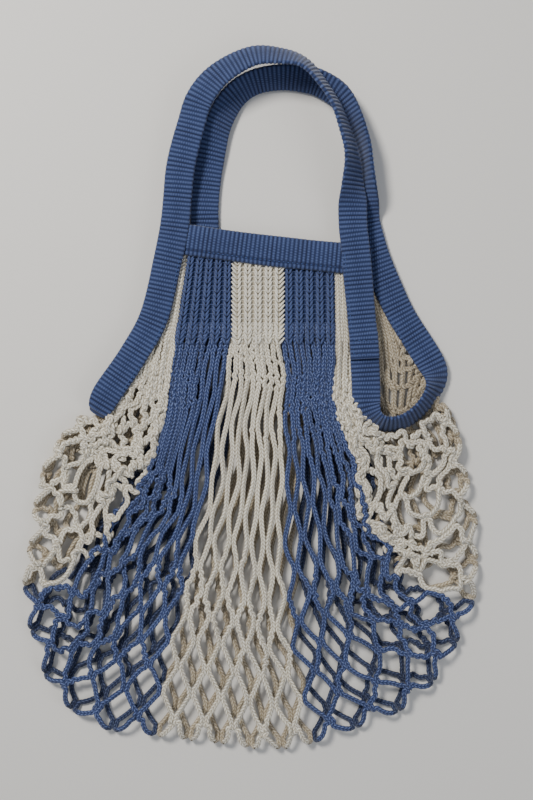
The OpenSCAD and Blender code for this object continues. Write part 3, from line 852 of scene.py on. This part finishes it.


# Each: colour in the grooves (painted shade), on the ridges, and in the light (painted highlight);
# roughness; size of the fibres; bump.
tape_cotton = cotton("ribbed blue cotton tape",
                     (0.010, 0.017, 0.055), (0.030, 0.050, 0.145), (0.098, 0.145, 0.320), 0.9, 1500, 0.6)
blue_yarn = ((0.012, 0.022, 0.079), (0.038, 0.064, 0.186), (0.158, 0.21, 0.40), 0.95, 1300, 0.8)
blue_rib = ((0.011, 0.021, 0.072), (0.028, 0.050, 0.152), (0.082, 0.12, 0.275), 0.95, 1300, 0.8)
cream_yarn = ((0.40, 0.345, 0.25), (0.77, 0.71, 0.57), (1.0, 0.97, 0.87), 0.95, 1300, 0.8)
yarn = {("blue", True): cotton("blue chain yarn", *blue_yarn, knitted=True),
        ("blue", False): cotton("blue rib yarn", *blue_rib),
        ("cream", True): cotton("unbleached chain yarn", *cream_yarn, knitted=True),
        ("cream", False): cotton("unbleached rib yarn", *cream_yarn)}
thread_cotton = cotton("blue sewing thread",
                       (0.008, 0.016, 0.06), (0.024, 0.052, 0.18), (0.05, 0.10, 0.30), 0.7, 2500, 0.4)


def place(obj, material, slot, nodes):
    """Gives a piece its material and hides the CAD nodes that it stands for; slot is not used."""
    obj.data.materials.append(material)
    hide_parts(*nodes)


def bend(obj):
    """Bakes the piece's placement into its mesh."""
    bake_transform(obj)


for stripe, (upper, under, rib_up, rib_low) in nets.items():
    colour = "cream" if "cream" in stripe else "blue"
    cloth, name, ribbed = yarn[colour, True], f"net_{colour}", yarn[colour, False]
    place(upper, cloth, name, [f"net_{stripe}_front", f"net_{stripe}_mouth", f"fold_{stripe}"])
    bend(upper)
    place(under, cloth, name, [f"net_{stripe}_back"])
    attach(under, "pouch")
    if rib_up:
        place(rib_up, ribbed, name, [f"rib_{stripe}_front"])
        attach(rib_up, "front_flap")
        place(rib_low, ribbed, name, [f"rib_{stripe}_back"])
        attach(rib_low, "pouch")

for piece, nodes in {
        "handle_upper": ["handle_front"], "handle_lower": ["handle_back"],
        "edge_tape_left_upper": ["side_tape_left_front", "tape_turn_left"],
        "edge_tape_left_lower": ["side_tape_left_back"],
        "edge_tape_right_upper": ["side_tape_right_front", "tape_lap"],
        "edge_tape_right_turn": ["tape_turn_right"], "edge_tape_right_lower": ["side_tape_right_back"],
        "mouth_band_upper": ["mouth_band_front"], "mouth_band_lower": ["mouth_band_back"]}.items():
    place(tapes[piece], tape_cotton, "blue_tape", nodes)
bend(tapes["handle_upper"])
bend(tapes["handle_lower"])
bend(tapes["edge_tape_left_upper"])
bend(tapes["edge_tape_right_turn"])
for piece in ("edge_tape_right_upper", "mouth_band_upper"):
    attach(tapes[piece], "front_flap")
for piece in ("edge_tape_left_lower", "edge_tape_right_lower", "mouth_band_lower"):
    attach(tapes[piece], "pouch")

for piece, node in {
        "stitches_band_upper": "stitching_band_front", "stitches_band_lower": "stitching_band_back",
        "stitches_left_upper": "stitching_left_front", "stitches_left_lower": "stitching_left_back",
        "stitches_right_upper": "stitching_right_front", "stitches_right_lower": "stitching_right_back",
        "stitches_lap": "stitching_lap"}.items():
    place(threads[piece], thread_cotton, "sewing_thread", [node])
    if piece == "stitches_left_upper":
        bend(threads[piece])
    else:
        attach(threads[piece], "pouch" if piece.endswith("lower") else "front_flap")

# ---------------------------------------------------------------- stage, light, camera
FLOOR_REACH, FLOOR_Z = 6, -0.0006      # metres; the floor is just under the lowest yarn
centre = Vector(((cad_lo.x + cad_hi.x) / 2, (cad_lo.y + cad_hi.y) / 2, 0))
corners = [(x * FLOOR_REACH, y * FLOOR_REACH, FLOOR_Z) for x, y in ((-1, -1), (1, -1), (1, 1), (-1, 1))]
floor_mesh = bpy.data.meshes.new("floor")
floor_mesh.from_pydata(corners, [], [(0, 1, 2, 3)])
floor = bpy.data.objects.new("floor", floor_mesh)
bpy.context.scene.collection.objects.link(floor)
pale = bpy.data.materials.new("pale floor")
pale.use_nodes = True
pale.node_tree.nodes["Principled BSDF"].inputs["Base Color"].default_value = (0.78, 0.76, 0.72, 1)
pale.node_tree.nodes["Principled BSDF"].inputs["Roughness"].default_value = 0.6
floor_mesh.materials.append(pale)


def lamp(name, where, size, power, colour):
    data = bpy.data.lights.new(name, "AREA")
    data.shape, data.size, data.energy, data.color = "DISK", size, power, colour
    obj = bpy.data.objects.new(name, data)
    obj.location = where
    obj.rotation_mode = "QUATERNION"
    obj.rotation_quaternion = (centre - Vector(where)).to_track_quat("-Z", "Y")
    bpy.context.scene.collection.objects.link(obj)
    return obj


lights = [lamp("key", (-0.75, 0.85, 1.35), 0.45, 30, (1, 0.97, 0.92)),
          lamp("fill", (1.3, -0.6, 1.3), 1.2, 7, (0.92, 0.95, 1.0))]
world = bpy.data.worlds.new("soft room")
world.use_nodes = True
world.node_tree.nodes["Background"].inputs["Color"].default_value = (0.85, 0.9, 1.0, 1)
world.node_tree.nodes["Background"].inputs["Strength"].default_value = 0.34
bpy.context.scene.world = world

# The camera looks straight down; the image's longer side shows 0.688 m at the height of the cloth.
SENSOR, DISTANCE, CLOTH_Z, VIEW = 36, 0.95, 0.012, 0.688
camera = bpy.data.objects.new("camera", bpy.data.cameras.new("camera"))
camera.data.sensor_width = SENSOR
camera.data.lens = SENSOR * (DISTANCE - CLOTH_Z) / VIEW
camera.location = (0.0133, 0.0013, DISTANCE)
camera.rotation_euler = (0, 0, 0)
bpy.context.scene.collection.objects.link(camera)
bpy.context.scene.camera = camera
